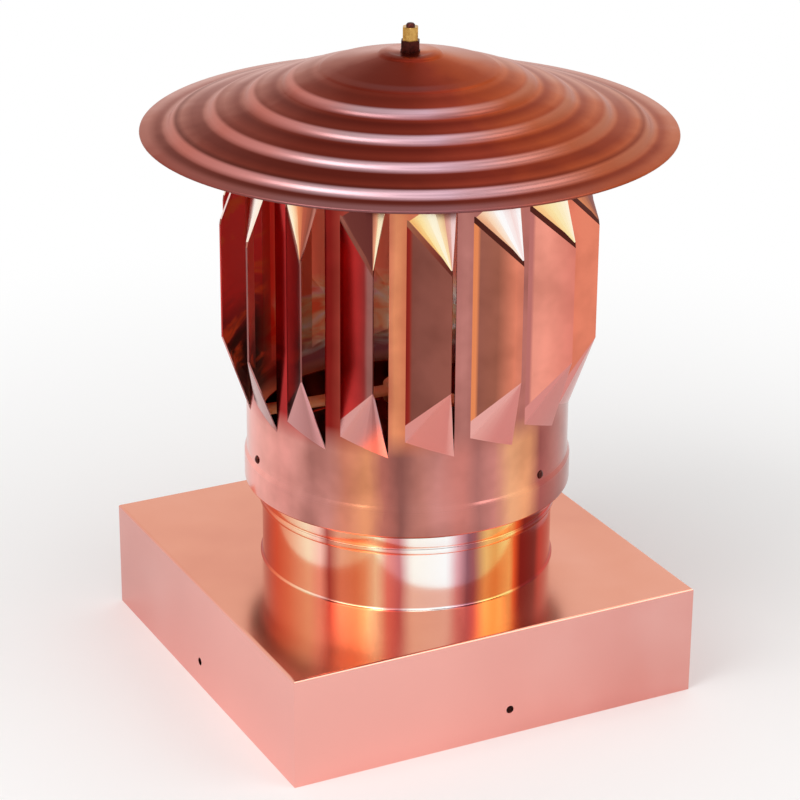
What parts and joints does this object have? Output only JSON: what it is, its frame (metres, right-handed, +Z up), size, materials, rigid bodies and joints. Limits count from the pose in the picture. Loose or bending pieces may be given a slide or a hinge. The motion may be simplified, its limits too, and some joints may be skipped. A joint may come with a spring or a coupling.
{
  "type": "chimney cowl",
  "caption": "Revolving copper chimney cowl: square base tray and flue tube carry a louvred drum that spins on a bearing spindle under a ribbed round cap.",
  "frame": {"origin": "on the spin axis, at the bottom edge of the base tray", "axes": "+Z up along the spin axis, +X and +Y square to the sides of the base tray"},
  "size_m": [0.3616, 0.3616, 0.4608],
  "materials": {
    "tray_copper": "copper sheet, bright mill finish, satin",
    "tube_copper": "copper sheet, polished",
    "drum_copper": "copper sheet, polished",
    "cap_copper": "copper sheet, spun and browned, satin",
    "spider_copper": "copper bar, bright",
    "rivet_copper": "copper rivets",
    "bush_bronze": "sintered bronze",
    "top_nut_brass": "turned brass",
    "zinc_steel": "zinc plated steel",
    "ground_steel": "turned and ground steel",
    "bearing_steel": "ground bearing steel",
    "dark_steel": "blackened steel",
    "seal_rubber": "moulded rubber"
  },
  "bodies": {
    "base": {"base_tray": "tray_copper", "flue_collar": "tube_copper", "flue_sleeve": "tube_copper", "upper_bridge": "zinc_steel", "lower_bridge": "zinc_steel", "bridge_rivets": "rivet_copper", "spindle": "ground_steel", "bridge_washers": "zinc_steel", "bridge_nuts": "zinc_steel", "bearing_inner_rings": "bearing_steel", "bearing_spacer": "zinc_steel", "spindle_washer": "zinc_steel", "spindle_nut": "zinc_steel"},
    "rotor": {"louvre_drum": "drum_copper", "cap": "cap_copper", "head_plate": "tube_copper", "head_rivets": "rivet_copper", "hub_housing": "ground_steel", "hub_rivets": "zinc_steel", "bearing_outer_rings": "bearing_steel", "bearing_balls": "bearing_steel", "bearing_cages": "top_nut_brass", "dust_ring": "seal_rubber", "guide_spider": "spider_copper", "guide_bush": "bush_bronze", "skirt_rivets": "dark_steel", "hub_plug": "dark_steel", "cap_washer": "dark_steel", "lock_nut": "dark_steel", "top_nut": "top_nut_brass"}
  },
  "joints": [
    {"name": "rotor_spin", "type": "hinge", "parent": "base", "child": "rotor", "pos_m": [0, 0, 0.393], "axis": [0, 0, 1], "continuous": true}
  ]
}
